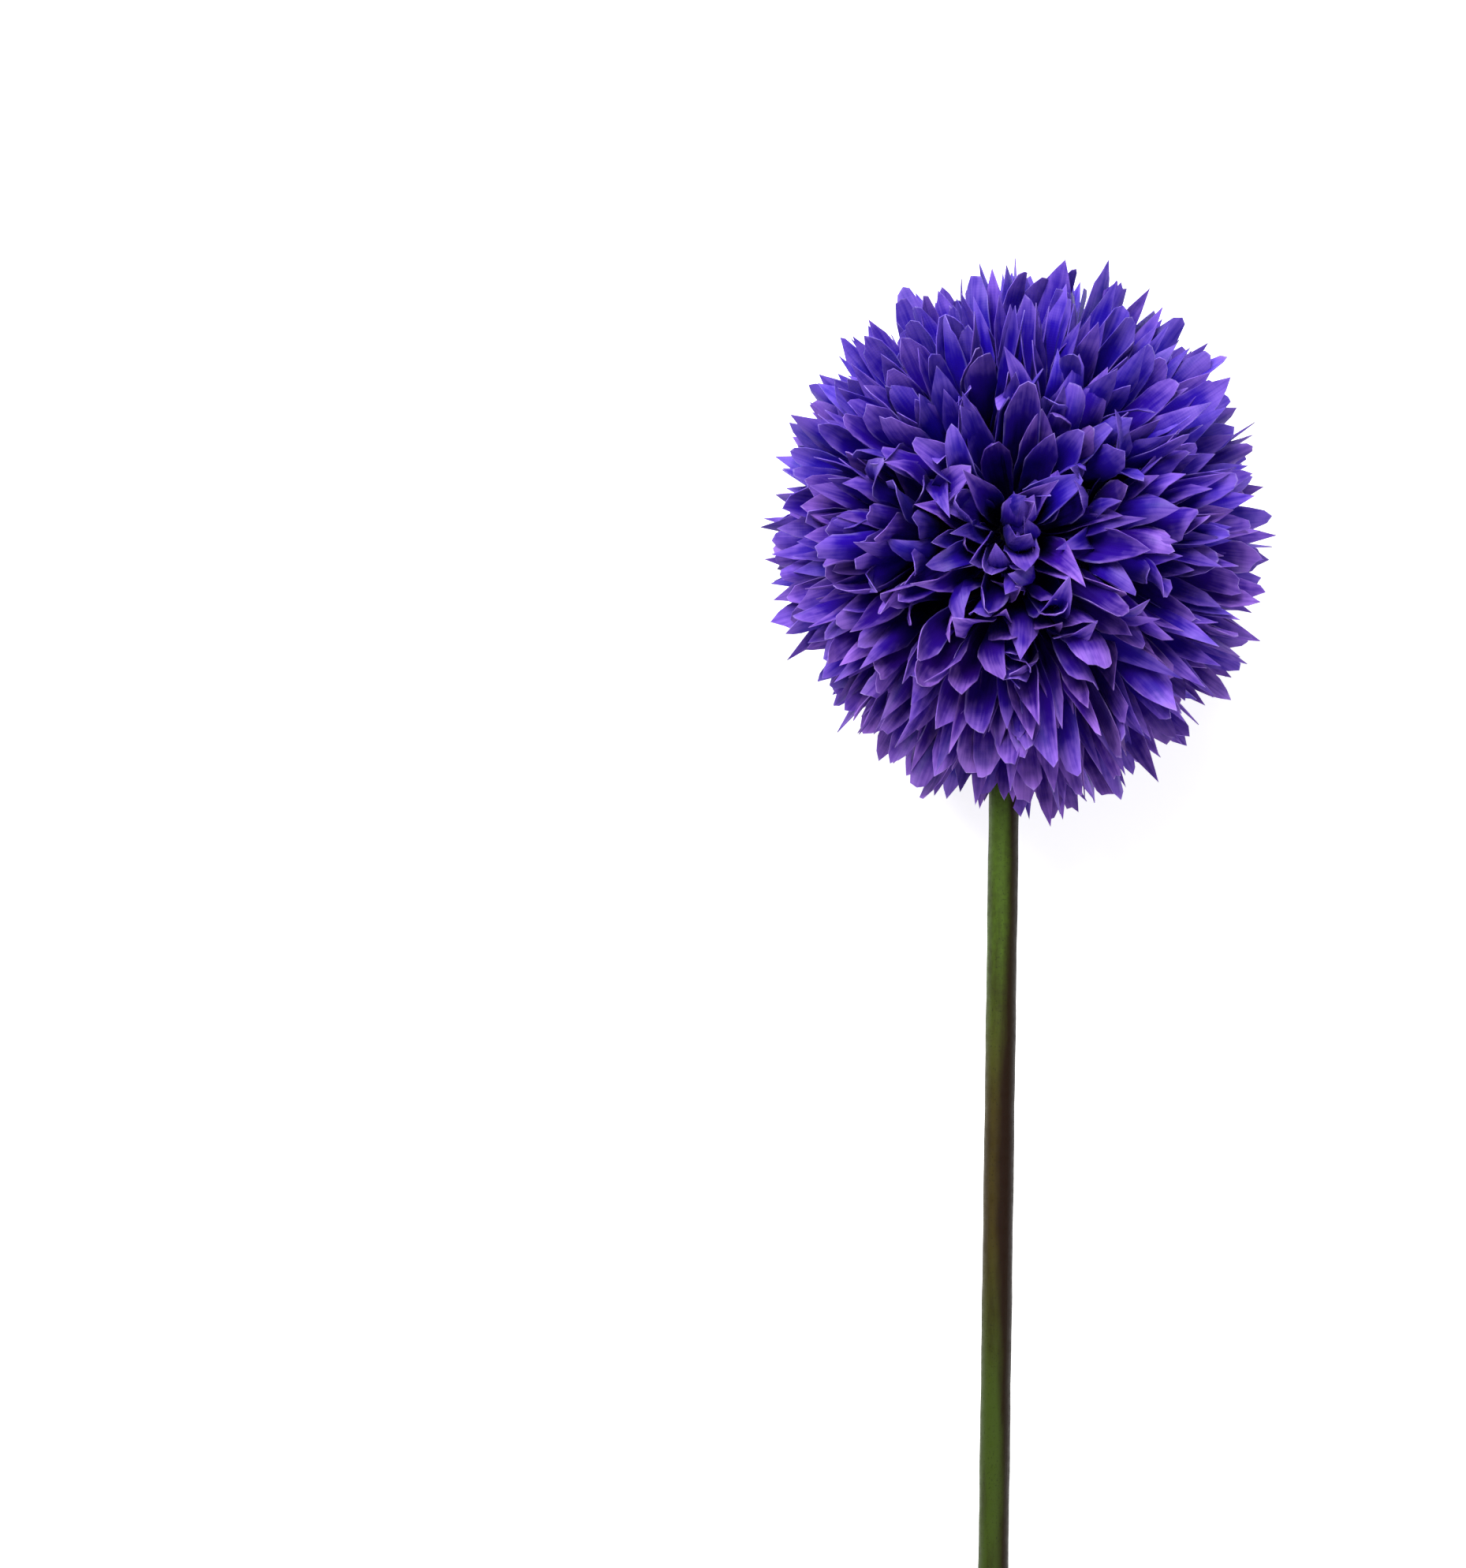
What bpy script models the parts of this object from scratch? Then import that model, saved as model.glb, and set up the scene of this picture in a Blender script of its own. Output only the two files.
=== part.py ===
"""An allium pompon flower head on its cut stem, lying on a flat surface.

A moulded ball carries eighteen pegs. Three stamped fabric petal layers are pushed over each peg, and
three more are threaded over the stem, so that the petals together fill a globe. The stem is a steel wire
in a plastic sheath. The head lies at +Y and the stem runs down to the surface at -Y.
Every mesh is worked out from the middle of the head, which an empty places in the world.
"""

import math
import random

import bmesh
import bpy
from mathutils import Vector

# Driving dimensions, in metres and degrees.
HEAD_HEIGHT = 0.0475  # middle of the head above the surface that it lies on
STEM_LENGTH = 0.232  # from the middle of the head to the cut end
STEM_RADIUS = 0.0033
STEM_INSET = 0.0100  # where the stem ends inside the ball, from its middle
WIRE_RADIUS = 0.0012
BALL_RADIUS = 0.0190
PEG_RADIUS = 0.0013
PEG_HEAD_RADIUS = 0.0022
PEG_HEAD_HEIGHT = 0.0010
PEG_REACH = 0.0266  # from the middle of the ball to the end of a peg
FIT = 0.0003  # clearance between two pieces that meet

PETAL_THICKNESS = 0.0006
PETAL_BELLY_WIDTH = 0.0064
PETAL_TIP_WIDTH = 0.0012
PETAL_BELLY = 0.56  # how far along the petal it is widest
BEND_SHARE = 0.35  # how far along the petal it bends from its hub to its own heading
HUB_RIM = 0.0014  # cloth left round a layer's hole
GLOBE_RADIUS = 0.0530  # to the petal tips, at right angles to the stem
AXIAL_STRETCH = 0.0045  # how much further the tips reach along the stem's line
SIDE_LEAN = 0.0018  # how much further they reach at +X than at -X
LENGTH_SPREAD = 0.0020
AZIMUTH_SPREAD = 3.0
CELL_MARGIN = 0.00045  # between a petal and the plane halfway to the next floret
PRESS_DEPTH = 0.0020  # over this length a petal gives way to the surface

# name, florets, angle from the stem's line, azimuth of the first one
FLORET_RINGS = (
    ("crown", 1, 0.0, 0.0),
    ("upper", 5, 48.0, 36.0),
    ("middle", 7, 90.0, 0.0),
    ("lower", 5, 132.0, 0.0),
)
# name, petals, height of the layer above the middle, how far it opens towards the next floret (0 to 1)
LAYERS = (
    ("outer", 12, 0.0205, 1.00),
    ("middle", 9, 0.0225, 0.64),
    ("inner", 6, 0.0247, 0.28),
)
SKIRT_LAYERS = (
    ("outer", 13, 0.0205, 1.00),
    ("middle", 11, 0.0227, 0.70),
    ("inner", 8, 0.0249, 0.24),
)
SKIRT_EXTRA_LENGTH = 0.0020

FINE_SIDES = 24
PEG_SIDES = 12
TRIAL_TURNS = 12  # ways round that are tried for each petal layer
HALVINGS = 14  # of the range in which a petal's lean is sought
MOST_LEAN = math.radians(45.0)
NEARLY_PARALLEL = 0.999  # cosine above which two directions count as one

# The stem's lower edge meets the surface at its cut end, which sets how far it slopes.
SLOPE = math.asin(HEAD_HEIGHT / math.hypot(STEM_LENGTH, STEM_RADIUS)) - math.atan2(
    STEM_RADIUS, STEM_LENGTH
)
AXIS = Vector((0.0, math.cos(SLOPE), math.sin(SLOPE)))  # from the stem to the crown
SIDE = Vector((1.0, 0.0, 0.0))
FACE = SIDE.cross(AXIS)  # at right angles to the stem, upwards


def make_material(name, colour, roughness, metallic=0.0):
    material = bpy.data.materials.new(name)
    material.use_nodes = True
    shader = material.node_tree.nodes["Principled BSDF"]
    shader.inputs["Base Color"].default_value = (*colour, 1.0)
    shader.inputs["Roughness"].default_value = roughness
    shader.inputs["Metallic"].default_value = metallic
    return material


def make_collection(name):
    collection = bpy.data.collections.new(name)
    bpy.context.scene.collection.children.link(collection)
    return collection


def add_object(name, bm, collection, material=None, parent=None):
    """Turn a bmesh into an object of its own."""
    mesh = bpy.data.meshes.new(name)
    bm.to_mesh(mesh)
    bm.free()
    piece = bpy.data.objects.new(name, mesh)
    piece.parent = parent
    collection.objects.link(piece)
    if material:
        mesh.materials.append(material)
    return piece


def add_rod(bm, direction, near, far, near_radius, far_radius, sides):
    """Add a closed cone or cylinder along a ray from the middle of the head."""
    rod = bmesh.ops.create_cone(
        bm,
        cap_ends=True,
        segments=sides,
        radius1=near_radius,
        radius2=far_radius,
        depth=far - near,
    )
    turn = direction.to_track_quat("Z", "Y").to_matrix().to_4x4()
    bmesh.ops.transform(bm, matrix=turn, verts=rod["verts"])
    bmesh.ops.translate(bm, vec=direction * (near + far) / 2, verts=rod["verts"])


def cut_or_join(piece, tool, operation):
    change = piece.modifiers.new(operation.lower(), "BOOLEAN")
    change.operation = operation
    change.object = tool
    tool.hide_render = True
    tool.display_type = "WIRE"


def shade_round(piece, angle=40.0):
    piece.data.shade_smooth()
    piece.data.set_sharp_from_angle(angle=math.radians(angle))


def make_stem(parts, cutters, parent, sheath_material, wire_material):
    """A plastic sheath with a steel wire down its bore, both cut square at the end."""
    bm = bmesh.new()
    add_rod(bm, -AXIS, STEM_INSET, STEM_LENGTH, STEM_RADIUS, STEM_RADIUS, FINE_SIDES)
    sheath = add_object("stem_sheath", bm, parts, sheath_material, parent)
    bm = bmesh.new()
    bore_radius = WIRE_RADIUS + FIT
    near, far = STEM_INSET - STEM_RADIUS, STEM_LENGTH + STEM_RADIUS
    add_rod(bm, -AXIS, near, far, bore_radius, bore_radius, FINE_SIDES)
    cut_or_join(sheath, add_object("bore_cutter", bm, cutters, parent=parent), "DIFFERENCE")
    shade_round(sheath)
    bm = bmesh.new()
    add_rod(bm, -AXIS, STEM_INSET, STEM_LENGTH, WIRE_RADIUS, WIRE_RADIUS, FINE_SIDES)
    shade_round(add_object("stem_wire", bm, parts, wire_material, parent))


def make_core_ball(parts, cutters, parent, material, directions):
    """A moulded ball with one barbed peg for each floret and a socket for the stem."""
    bm = bmesh.new()
    bmesh.ops.create_uvsphere(
        bm, u_segments=FINE_SIDES, v_segments=FINE_SIDES // 2, radius=BALL_RADIUS
    )
    ball = add_object("core_ball", bm, parts, material, parent)
    bm = bmesh.new()
    root = BALL_RADIUS - PEG_HEAD_RADIUS
    neck = PEG_REACH - PEG_HEAD_HEIGHT
    for direction in directions:
        add_rod(bm, direction, root, PEG_REACH - FIT, PEG_RADIUS, PEG_RADIUS, PEG_SIDES)
    pegs = add_object("pegs_tool", bm, cutters, parent=parent)
    bm = bmesh.new()
    for direction in directions:
        add_rod(bm, direction, neck, PEG_REACH, PEG_HEAD_RADIUS, PEG_RADIUS, PEG_SIDES)
    heads = add_object("peg_heads_tool", bm, cutters, parent=parent)
    bm = bmesh.new()
    bottom, mouth = STEM_INSET - FIT, BALL_RADIUS + STEM_RADIUS
    socket_radius = STEM_RADIUS + FIT
    add_rod(bm, -AXIS, bottom, mouth, socket_radius, socket_radius, FINE_SIDES)
    socket = add_object("socket_cutter", bm, cutters, parent=parent)
    cut_or_join(ball, pegs, "UNION")
    cut_or_join(ball, heads, "UNION")
    cut_or_join(ball, socket, "DIFFERENCE")
    shade_round(ball)


def floret_directions():
    """Each floret's name and the way it faces, ring by ring from the crown down."""
    found = []
    for name, count, polar, first in FLORET_RINGS:
        tilt = math.radians(polar)
        for number in range(count):
            azimuth = math.radians(first + 360.0 * number / count)
            across = FACE * math.cos(azimuth) + SIDE * math.sin(azimuth)
            direction = AXIS * math.cos(tilt) + across * math.sin(tilt)
            label = f"{name}_floret" if count == 1 else f"{name}_floret_{number + 1}"
            found.append((label, direction.normalized()))
    return found


def layer_basis(direction):
    """Two directions at right angles to a floret's own and to each other."""
    along_stem = abs(direction.dot(AXIS)) > NEARLY_PARALLEL
    guide = FACE if along_stem else AXIS
    first = (guide - direction * guide.dot(direction)).normalized()
    return first, direction.cross(first)


def halfway_planes(direction, others):
    """The planes through the middle of the head that part a floret's space from the others'."""
    return [(direction - other).normalized() for other in others]


def tip_radius(ray, uneven):
    """The globe's radius along a ray: stretched along the stem, fuller at one side, uneven."""
    even = GLOBE_RADIUS + AXIAL_STRETCH * ray.dot(AXIS) ** 2 + SIDE_LEAN * ray.dot(SIDE)
    return even + uneven


def give_way(point):
    """Shorten a point's ray, smoothly, where it would pass through the surface below the head."""
    if point.z >= 0.0:
        return point
    radius = point.length
    meeting = radius * HEAD_HEIGHT / -point.z
    start = meeting - PRESS_DEPTH
    if radius <= start:
        return point
    kept = meeting - PRESS_DEPTH * math.exp(-(radius - start) / PRESS_DEPTH)
    return point * (kept / radius)


def petal_corners(direction, outward, layer, hub_radius, lean, uneven):
    """The pairs of corners at a petal's belly and tip, on a middle line bent from root to tip.

    Each pair is no wider than the petal's own share of the turn about the peg at that distance from it,
    so that neighbours in a layer never cross.
    """
    _, count, height, _ = layer
    share = 2.0 * math.tan(math.pi / count - math.radians(AZIMUTH_SPREAD))
    heading = direction * math.cos(lean) + outward * math.sin(lean)
    reach = tip_radius(heading, uneven)
    root = direction * height + outward * hub_radius
    bend = heading * (height + BEND_SHARE * (reach - height))
    tip = heading * reach
    across = direction.cross(outward)
    pairs = []
    for along, width in ((PETAL_BELLY, PETAL_BELLY_WIDTH), (1.0, PETAL_TIP_WIDTH)):
        spot = root * (1.0 - along) ** 2 + bend * 2.0 * along * (1.0 - along) + tip * along**2
        half = min(width, share * spot.dot(outward)) / 2
        pairs.append((spot - across * half, spot + across * half))
    return pairs


def widest_lean(direction, outward, planes, layer, hub_radius, uneven):
    """How far a petal may lean from its floret and stay in the floret's own space, by halving."""
    near, far = 0.0, MOST_LEAN
    for _ in range(HALVINGS):
        lean = (near + far) / 2
        pairs = petal_corners(direction, outward, layer, hub_radius, lean, uneven)
        inside = min(corner.dot(plane) for pair in pairs for corner in pair for plane in planes)
        if inside > CELL_MARGIN:
            near = lean
        else:
            far = lean
    return near


def best_turn(direction, basis, planes, layer, hub_radius):
    """The turn about its peg at which a layer's petals reach furthest into the floret's space."""
    first, second = basis
    count = layer[1]
    best, best_total = 0.0, -1.0
    for trial in range(TRIAL_TURNS):
        turn = 2.0 * math.pi * trial / (TRIAL_TURNS * count)
        total = 0.0
        for number in range(count):
            azimuth = turn + 2.0 * math.pi * number / count
            outward = first * math.cos(azimuth) + second * math.sin(azimuth)
            total += widest_lean(direction, outward, planes, layer, hub_radius, 0.0)
        if total > best_total:
            best, best_total = turn, total
    return best


def make_hub(bm, count, hole_radius, hub_radius):
    """A flat ring with one outer edge for each petal, and those edges in order round it."""
    bmesh.ops.create_circle(bm, segments=count, radius=hole_radius / math.cos(math.pi / count))
    grown = bmesh.ops.extrude_edge_only(bm, edges=bm.edges[:])["geom"]
    rim_verts = {item for item in grown if isinstance(item, bmesh.types.BMVert)}
    for vert in rim_verts:
        vert.co = vert.co.normalized() * hub_radius
    grown_edges = [item for item in grown if isinstance(item, bmesh.types.BMEdge)]
    rim_edges = [edge for edge in grown_edges if rim_verts.issuperset(edge.verts)]
    rim_edges.sort(key=edge_azimuth)
    return rim_edges


def edge_azimuth(edge):
    middle = edge.verts[0].co + edge.verts[1].co
    return math.atan2(middle.y, middle.x)


def draw_out(bm, edge, corners, across):
    """Extrude an edge to a new pair of corners and give back the new edge."""
    drawn = bmesh.ops.extrude_edge_only(bm, edges=[edge])["geom"]
    verts = [item for item in drawn if isinstance(item, bmesh.types.BMVert)]
    verts.sort(key=lambda vert: vert.co.dot(across))
    for vert, corner in zip(verts, corners):
        vert.co = give_way(corner)
    drawn_edges = [item for item in drawn if isinstance(item, bmesh.types.BMEdge)]
    return next(drawn_edge for drawn_edge in drawn_edges if set(drawn_edge.verts) == set(verts))


def make_petal_layer(name, direction, others, layer, hole_radius, extra, draw, place):
    """One stamped layer: a ring of cloth whose every outer edge is drawn out into a petal."""
    _, count, height, opening = layer
    first, second = layer_basis(direction)
    planes = halfway_planes(direction, others)
    hub_radius = hole_radius + HUB_RIM
    turn = best_turn(direction, (first, second), planes, layer, hub_radius)

    bm = bmesh.new()
    rim_edges = make_hub(bm, count, hole_radius, hub_radius)
    turn -= edge_azimuth(rim_edges[0])
    azimuths = [edge_azimuth(edge) + turn for edge in rim_edges]
    for vert in bm.verts:
        angle = math.atan2(vert.co.y, vert.co.x) + turn
        outward = first * math.cos(angle) + second * math.sin(angle)
        vert.co = direction * height + outward * vert.co.length

    for edge, azimuth in zip(rim_edges, azimuths):
        azimuth += math.radians(draw.uniform(-AZIMUTH_SPREAD, AZIMUTH_SPREAD))
        uneven = extra + draw.uniform(-LENGTH_SPREAD, LENGTH_SPREAD)
        outward = first * math.cos(azimuth) + second * math.sin(azimuth)
        across = direction.cross(outward)
        lean = opening * widest_lean(direction, outward, planes, layer, hub_radius, uneven)
        for corners in petal_corners(direction, outward, layer, hub_radius, lean, uneven):
            edge = draw_out(bm, edge, corners, across)
    bmesh.ops.recalc_face_normals(bm, faces=bm.faces)
    piece = add_object(name, bm, *place)
    cloth = piece.modifiers.new("cloth", "SOLIDIFY")
    cloth.thickness = PETAL_THICKNESS
    cloth.offset = 0.0


def make_florets(florets, place):
    """Three petal layers on each peg and three over the stem, each kept to its own floret's space."""
    draw = random.Random(7)
    ways = [direction for _, direction in florets] + [-AXIS]
    for label, direction in florets:
        others = [way for way in ways if way is not direction]
        for layer in LAYERS:
            name = f"{label}_{layer[0]}_petals"
            make_petal_layer(name, direction, others, layer, PEG_RADIUS + FIT, 0.0, draw, place)
    for layer in SKIRT_LAYERS:
        name = f"skirt_{layer[0]}_petals"
        hole_radius = STEM_RADIUS + FIT
        make_petal_layer(
            name, -AXIS, ways[:-1], layer, hole_radius, SKIRT_EXTRA_LENGTH, draw, place
        )


def stand_on_surface(parts, parent):
    """Move the whole so that its box is centred on the origin and its lowest point is at zero."""
    bpy.context.view_layer.update()
    depsgraph = bpy.context.evaluated_depsgraph_get()
    corners = []
    for piece in parts.objects:
        placed = piece.evaluated_get(depsgraph)
        corners += [placed.matrix_world @ v.co for v in placed.data.vertices]
    low = Vector([min(c[i] for c in corners) for i in range(3)])
    high = Vector([max(c[i] for c in corners) for i in range(3)])
    parent.location -= Vector(((low.x + high.x) / 2, (low.y + high.y) / 2, low.z))


def main():
    for old in list(bpy.data.objects):
        bpy.data.objects.remove(old)
    parts = make_collection("allium_flower_head")
    cutters = make_collection("cutters")
    middle = bpy.data.objects.new("head_middle", None)
    middle.location = (0.0, 0.0, HEAD_HEIGHT)
    bpy.context.scene.collection.objects.link(middle)

    petal_cloth = make_material("violet polyester petal cloth", (0.105, 0.045, 0.34), 0.62)
    ball_plastic = make_material("dark violet polypropylene", (0.02, 0.01, 0.05), 0.5)
    stem_plastic = make_material("moss green polyethylene", (0.10, 0.15, 0.045), 0.45)
    wire_steel = make_material("steel wire", (0.45, 0.45, 0.44), 0.4, metallic=1.0)

    florets = floret_directions()
    make_core_ball(parts, cutters, middle, ball_plastic, [way for _, way in florets])
    make_stem(parts, cutters, middle, stem_plastic, wire_steel)
    make_florets(florets, (parts, petal_cloth, middle))
    stand_on_surface(parts, middle)


main()
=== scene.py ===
"""An allium flower head of violet cloth petals on its cut stem, lying on a plain pale table.

Each stamped layer of petals, the stem's sheath and its wire are modelled finely round the solids of the
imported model, in its own frame and in metres.
"""

import math
import random

import bpy
import numpy as np
from bpy.props import FloatProperty, FloatVectorProperty, PointerProperty
from mathutils import Matrix, Vector


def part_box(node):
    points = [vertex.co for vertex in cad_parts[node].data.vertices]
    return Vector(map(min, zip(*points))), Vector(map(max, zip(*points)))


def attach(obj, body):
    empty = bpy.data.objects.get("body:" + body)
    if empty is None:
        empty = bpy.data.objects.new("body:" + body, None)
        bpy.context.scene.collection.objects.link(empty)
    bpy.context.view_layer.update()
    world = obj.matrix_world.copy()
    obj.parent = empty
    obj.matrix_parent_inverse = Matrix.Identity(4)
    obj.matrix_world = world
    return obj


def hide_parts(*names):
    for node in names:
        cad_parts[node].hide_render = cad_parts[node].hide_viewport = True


bl_info = {
    "name": "Allium flower head",
    "version": (1, 0, 0),
    "blender": (4, 5, 0),
    "location": "3D View > Sidebar > Allium",
    "description": "Builds a cloth allium flower head, petal layer by petal layer, on its stem",
    "category": "Add Mesh",
}

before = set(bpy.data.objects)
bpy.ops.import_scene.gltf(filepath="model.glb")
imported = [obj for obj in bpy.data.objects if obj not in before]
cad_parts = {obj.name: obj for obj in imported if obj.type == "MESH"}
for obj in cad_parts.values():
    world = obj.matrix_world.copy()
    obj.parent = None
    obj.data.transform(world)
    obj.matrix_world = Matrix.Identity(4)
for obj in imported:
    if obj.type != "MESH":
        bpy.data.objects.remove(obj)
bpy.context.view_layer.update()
BODY = "root"
MM = 0.001

# The solid model's own dimensions, in metres and degrees. They place the petals on their pegs.
HEAD_HEIGHT = 0.0475
STEM_LENGTH = 0.232
STEM_RADIUS = 0.0033
STEM_INSET = 0.0100
WIRE_RADIUS = 0.0012
PEG_RADIUS = 0.0013
FIT = 0.0003
PETAL_BELLY_WIDTH = 0.0064
PETAL_TIP_WIDTH = 0.0012
PETAL_BELLY = 0.56
BEND_SHARE = 0.35
HUB_RIM = 0.0014
GLOBE_RADIUS = 0.0530
AXIAL_STRETCH = 0.0045
SIDE_LEAN = 0.0018
LENGTH_SPREAD = 0.0020
AZIMUTH_SPREAD = 3.0
CELL_MARGIN = 0.00045
PRESS_DEPTH = 0.0020
SKIRT_EXTRA_LENGTH = 0.0020
# Each ring's name, florets, angle from the stem's line and first azimuth.
FLORET_RINGS = (
    ("crown", 1, 0.0, 0.0),
    ("upper", 5, 48.0, 36.0),
    ("middle", 7, 90.0, 0.0),
    ("lower", 5, 132.0, 0.0),
)
# Each layer's name, petals, height up its peg and share of the widest lean.
LAYERS = (
    ("outer", 12, 0.0205, 1.00),
    ("middle", 9, 0.0225, 0.64),
    ("inner", 6, 0.0247, 0.28),
)
SKIRT_LAYERS = (
    ("outer", 13, 0.0205, 1.00),
    ("middle", 11, 0.0227, 0.70),
    ("inner", 8, 0.0249, 0.24),
)
TRIAL_TURNS = 12
HALVINGS = 14
MOST_LEAN = math.radians(45.0)
NEARLY_PARALLEL = 0.999
SOLID_SEED = 7

# The way the stem points, the side to the viewer's right, and the way the head faces.
STEM_TILT = math.asin(HEAD_HEIGHT / math.hypot(STEM_LENGTH, STEM_RADIUS))
SLOPE = STEM_TILT - math.atan2(STEM_RADIUS, STEM_LENGTH)
AXIS = np.array((0.0, math.cos(SLOPE), math.sin(SLOPE)))
SIDE = np.array((1.0, 0.0, 0.0))
FACE = np.cross(SIDE, AXIS)

# The grid of a petal: rows from root to tip and columns across, closer together where they show most.
ROWS = np.array((0.0, 0.20, 0.38, 0.52, 0.64, 0.75, 0.85, 0.93, 1.0))
COLUMNS = np.sin(np.radians((-90.0, -60.0, -30.0, 0.0, 30.0, 60.0, 90.0)))

# The cloth, and how the second ply of each layer sits on the first.
CLOTH_THICKNESS = 0.00020
PLY_STEP = 0.0006
SECOND_PLY_SHORTEST = -0.0060
SECOND_PLY_LONGEST = 0.0010
LOOKS_SEED = 8

# How far petals stray round their peg, as shares of half their pitch: in the second ply, and at the front.
PITCH_SPREAD = 0.25
ASTRAY_SHARE = 0.3
# How much looser and how wide the inner layers' petals are, against the others.
INNER_LOOSENESS = 2.0
INNER_WIDTH = 0.92

# Where a petal's blade is widest, its claw's share of that width, how steeply it widens, how much it
# narrows to the tip and how deep its edges' ripples are.
BELLY_AT = 0.70
CLAW_SHARE = 0.30
BELLY_POWER = 1.4
TIP_NARROWING = 0.22
RIPPLE_DEPTH = 0.05
# How fast and how steeply a petal's twist grows along it, the front's further hollow, the square of the
# place across at which a hollow is level, and the least roll.
TWIST_RATE = 1.35
TWIST_POWER = 1.2
FRONT_HOLLOW = 0.35
LEVEL_AT = 0.35
LEAST_ROLL = 1e-3
# A pointed tip's share of the teeth, and how far the painted shade and highlight along the petal follow the
# tip's cut.
POINTED_TEETH = 0.2
CUT_SHADE_AND_HIGHLIGHT = 0.25

# The ranges that each petal draws from: its middle column's shift, its width, hollow and crease, the
# ripples and waves down its edges, where its tip starts to roll and its place in the cloth.
SKEWS = (-0.45, 0.45)
WIDTHS = (0.72, 1.16)
HOLLOWS = (-0.22, 0.62)
CREASES = (0.0, 0.22)
RIPPLES = (14.0, 26.0)
WAVES = (9.0, 17.0)
ROLL_STARTS = (0.58, 0.74)
BOLT_SHIFTS = (0.0, 0.4)
FULL_TURN = (0.0, 2.0 * math.pi)

# The ranges of a tip's depth, as a share of the petal, and of the two powers that shape it.
BLUNT_TIP = ((0.12, 0.24), (1.6, 2.2), (0.45, 0.60))
POINTED_TIP = ((0.28, 0.46), (1.0, 1.35), (0.58, 0.78))

# The darkest and palest tone, and the plum in a petal's blue: at the head's middle, less of it towards the
# crown, and its spread. Plum tips are paler, so the plum towards the stem is partly painted highlight.
TONES = (0.6, 1.4)
PLUM = 0.40
CROWN_PLUM_LOSS = 0.42
PLUM_SPREAD = 0.20

# Lines across the face where the petals were combed apart: how far up the head of radius one each lies,
# how far it is open, how softly it opens and its half width. The second lies above the skirt.
PARTINGS = (
    (-0.02, 0.045, 0.12, 1.00),
    (-0.74, 0.110, 0.05, 0.30),
)
# How far the lower florets' petals hold back from the skirt at the face.
SKIRT_GAP = 1.0
# The cosine to the face at which petals start to count as front, and how much more until they wholly do.
FRONT_FROM = 0.55
FRONT_SPAN = 0.40

# How far past even the petals reach, in millimetres: all round, to +X, in three lobes and, less far, in
# the press beside the stem. Turns are from +X towards the crown.
EVEN_REACH = 0.8
SIDE_REACH = 1.1
LOBE_REACH = 1.0
LOBE_TURN = math.radians(60.0)
PRESS_REACH = 2.6
PRESS_TURN = math.radians(-99.0)
PRESS_WIDTH = math.radians(11.0)

# Sides and rings of the turned pieces, and the angle from which their edges are sharp.
SHEATH_SIDES = 48
SHEATH_RINGS = 60
WIRE_SIDES = 24
WIRE_RINGS = 30
SHARP_FROM = math.radians(35.0)

# Where the lights stand from the head's middle, in metres: out of its face, up the stem's line, to +X.
KEY_PLACE = (0.95, 0.75, -0.35)
FILL_PLACE = (0.90, -0.80, 0.50)

# Node settings that come up again and again.
SMOOTH = {"interpolation_type": "SMOOTHSTEP"}
COLOURS = {"data_type": "RGBA"}
PLUS = {"operation": "ADD"}
TIMES = {"operation": "MULTIPLY"}
GREATER = {"operation": "MAXIMUM"}
# Where nearly all of a noise texture's values lie.
NOISE_SPAN = {"From Min": 0.3, "From Max": 0.7}


# Colours and materials


def linear(colour):
    """An sRGB hex colour as linear red, green, blue and full alpha."""
    parts = [int(colour[i : i + 2], 16) / 255.0 for i in (1, 3, 5)]
    return [p / 12.92 if p <= 0.04045 else ((p + 0.055) / 1.055) ** 2.4 for p in parts] + [1.0]


def per_metre(size):
    """How many features of a size in millimetres a metre holds, which is a noise texture's scale."""
    return 1.0 / (size * MM)


def bands_per_metre(spacing):
    """A wave texture's scale for bands so many millimetres apart. It repeats every tenth of pi."""
    return math.pi / 10.0 / (spacing * MM)


def add_node(tree, kind, inputs, settings=None, out=0):
    """Add a node with its inputs and settings, and return one of its outputs.

    An input is keyed by name, or by number where names repeat. Its value is another node's output, which
    is linked to it, or the number, vector or colour that it is set to.
    """
    node = tree.nodes.new("ShaderNode" + kind)
    for name, value in (settings or {}).items():
        setattr(node, name, value)
    for key, value in inputs.items():
        if isinstance(value, bpy.types.NodeSocket):
            tree.links.new(value, node.inputs[key])
        else:
            node.inputs[key].default_value = value
    return node.outputs[out] if len(node.outputs) else None


def new_material(name):
    """A material and its empty node tree."""
    material = bpy.data.materials.new(name)
    material.use_nodes = True
    material.node_tree.nodes.clear()
    return material, material.node_tree


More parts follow.
